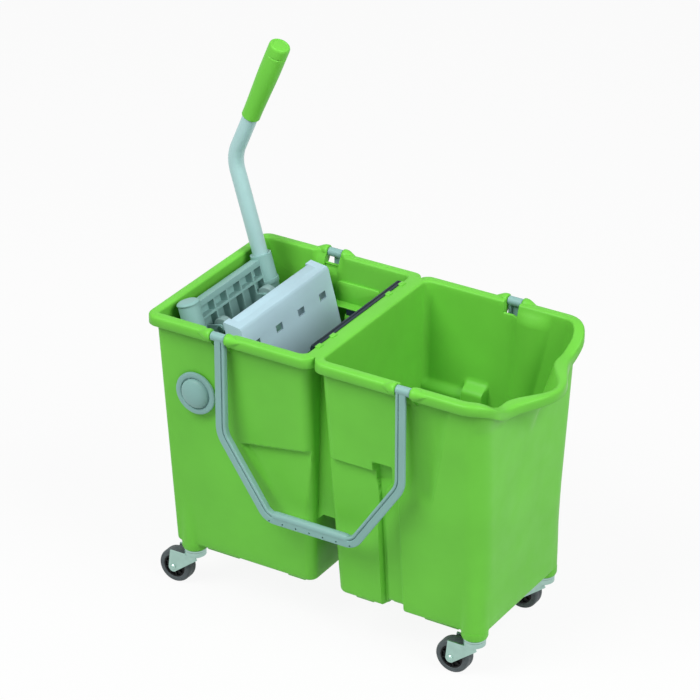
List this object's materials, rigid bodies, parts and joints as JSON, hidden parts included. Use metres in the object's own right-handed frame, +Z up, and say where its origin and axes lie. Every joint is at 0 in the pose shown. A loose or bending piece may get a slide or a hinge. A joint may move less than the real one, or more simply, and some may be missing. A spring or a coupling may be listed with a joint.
{
  "type": "double mop bucket trolley",
  "caption": "Twin mop bucket moulded in one piece on swivel casters, with a lever press wringer over one bucket, a pouring spout on the other and carrying bails on the long sides.",
  "frame": {"origin": "on the floor under the middle of the bounding box", "axes": "+X along the trolley towards the pouring spout, +Y across it towards the side that the lever tube stands on, +Z up"},
  "size_m": [0.5707, 0.313, 0.7621],
  "materials": {
    "green_plastic": "bright lime green moulded plastic, soft sheen",
    "grey_plastic": "pale grey moulded plastic with a teal cast",
    "plate_plastic": "pale bluish grey moulded plastic",
    "dark_plastic": "dark slate moulded plastic",
    "roller_plastic": "mid grey moulded plastic",
    "grey_paint": "pale grey coating on steel tube",
    "zinc_steel": "bright zinc-plated pressed steel",
    "black_plastic": "black moulded plastic",
    "grey_rubber": "dark grey rubber"
  },
  "bodies": {
    "tub_frame": {"tub": "green_plastic", "wringer_jaw": "dark_plastic", "plate_hinge_pin": "zinc_steel", "pivot_cap_front": "grey_plastic", "pivot_cap_rear": "grey_plastic", "caster_fl_stem": "zinc_steel", "caster_fr_stem": "zinc_steel", "caster_rl_stem": "zinc_steel", "caster_rr_stem": "zinc_steel"},
    "press": {"press_plate": "plate_plastic"},
    "lever": {"lever_block": "grey_plastic", "pivot_shaft": "zinc_steel", "roller_pin_front": "zinc_steel", "roller_pin_rear": "zinc_steel", "lever_tube": "grey_paint", "lever_grip": "green_plastic", "socket_cap": "grey_plastic"},
    "front_roller": {"roller_front": "roller_plastic"},
    "rear_roller": {"roller_rear": "roller_plastic"},
    "front_bail": {"bail_front": "grey_plastic"},
    "rear_bail": {"bail_rear": "grey_plastic"},
    "caster_fl_swivel": {"caster_fl_fork": "zinc_steel", "caster_fl_axle": "zinc_steel"},
    "caster_fl_wheel": {"caster_fl_hub": "black_plastic", "caster_fl_tyre": "grey_rubber"},
    "caster_fr_swivel": {"caster_fr_fork": "zinc_steel", "caster_fr_axle": "zinc_steel"},
    "caster_fr_wheel": {"caster_fr_hub": "black_plastic", "caster_fr_tyre": "grey_rubber"},
    "caster_rl_swivel": {"caster_rl_fork": "zinc_steel", "caster_rl_axle": "zinc_steel"},
    "caster_rl_wheel": {"caster_rl_hub": "black_plastic", "caster_rl_tyre": "grey_rubber"},
    "caster_rr_swivel": {"caster_rr_fork": "zinc_steel", "caster_rr_axle": "zinc_steel"},
    "caster_rr_wheel": {"caster_rr_hub": "black_plastic", "caster_rr_tyre": "grey_rubber"}
  },
  "joints": [
    {"name": "lever_pull", "type": "hinge", "parent": "tub_frame", "child": "lever", "pos_m": [-0.19825, 0, 0.332], "axis": [0, 1, 0], "range_deg": [0, 52]},
    {"name": "plate_swing", "type": "hinge", "parent": "tub_frame", "child": "press", "pos_m": [-0.09325, 0, 0.25], "axis": [0, 1, 0], "range_deg": [0, 21]},
    {"name": "front_roller_spin", "type": "hinge", "parent": "lever", "child": "front_roller", "pos_m": [-0.20321, -0.055, 0.39697], "axis": [0, 1, 0], "continuous": true},
    {"name": "rear_roller_spin", "type": "hinge", "parent": "lever", "child": "rear_roller", "pos_m": [-0.20321, 0.055, 0.39697], "axis": [0, 1, 0], "continuous": true},
    {"name": "front_bail_swing", "type": "hinge", "parent": "tub_frame", "child": "front_bail", "pos_m": [-0.00725, -0.148, 0.436], "axis": [-1, 0, 0], "range_deg": [0, 210]},
    {"name": "rear_bail_swing", "type": "hinge", "parent": "tub_frame", "child": "rear_bail", "pos_m": [-0.00725, 0.148, 0.436], "axis": [1, 0, 0], "range_deg": [0, 210]},
    {"name": "caster_fl_swivel_turn", "type": "hinge", "parent": "tub_frame", "child": "caster_fl_swivel", "pos_m": [-0.23125, -0.0955, 0.05], "axis": [0, 0, 1], "continuous": true},
    {"name": "caster_fl_wheel_spin", "type": "hinge", "parent": "caster_fl_swivel", "child": "caster_fl_wheel", "pos_m": [-0.26125, -0.0955, 0.025], "axis": [0, 1, 0], "continuous": true},
    {"name": "caster_fr_swivel_turn", "type": "hinge", "parent": "tub_frame", "child": "caster_fr_swivel", "pos_m": [0.21675, -0.0955, 0.05], "axis": [0, 0, 1], "continuous": true},
    {"name": "caster_fr_wheel_spin", "type": "hinge", "parent": "caster_fr_swivel", "child": "caster_fr_wheel", "pos_m": [0.18675, -0.0955, 0.025], "axis": [0, 1, 0], "continuous": true},
    {"name": "caster_rl_swivel_turn", "type": "hinge", "parent": "tub_frame", "child": "caster_rl_swivel", "pos_m": [-0.23125, 0.0955, 0.05], "axis": [0, 0, 1], "continuous": true},
    {"name": "caster_rl_wheel_spin", "type": "hinge", "parent": "caster_rl_swivel", "child": "caster_rl_wheel", "pos_m": [-0.26125, 0.0955, 0.025], "axis": [0, 1, 0], "continuous": true},
    {"name": "caster_rr_swivel_turn", "type": "hinge", "parent": "tub_frame", "child": "caster_rr_swivel", "pos_m": [0.21675, 0.0955, 0.05], "axis": [0, 0, 1], "continuous": true},
    {"name": "caster_rr_wheel_spin", "type": "hinge", "parent": "caster_rr_swivel", "child": "caster_rr_wheel", "pos_m": [0.18675, 0.0955, 0.025], "axis": [0, 1, 0], "continuous": true}
  ],
  "couplings": [
    {"joint": "plate_swing", "follows": "lever_pull", "ratio": 0.40385}
  ]
}
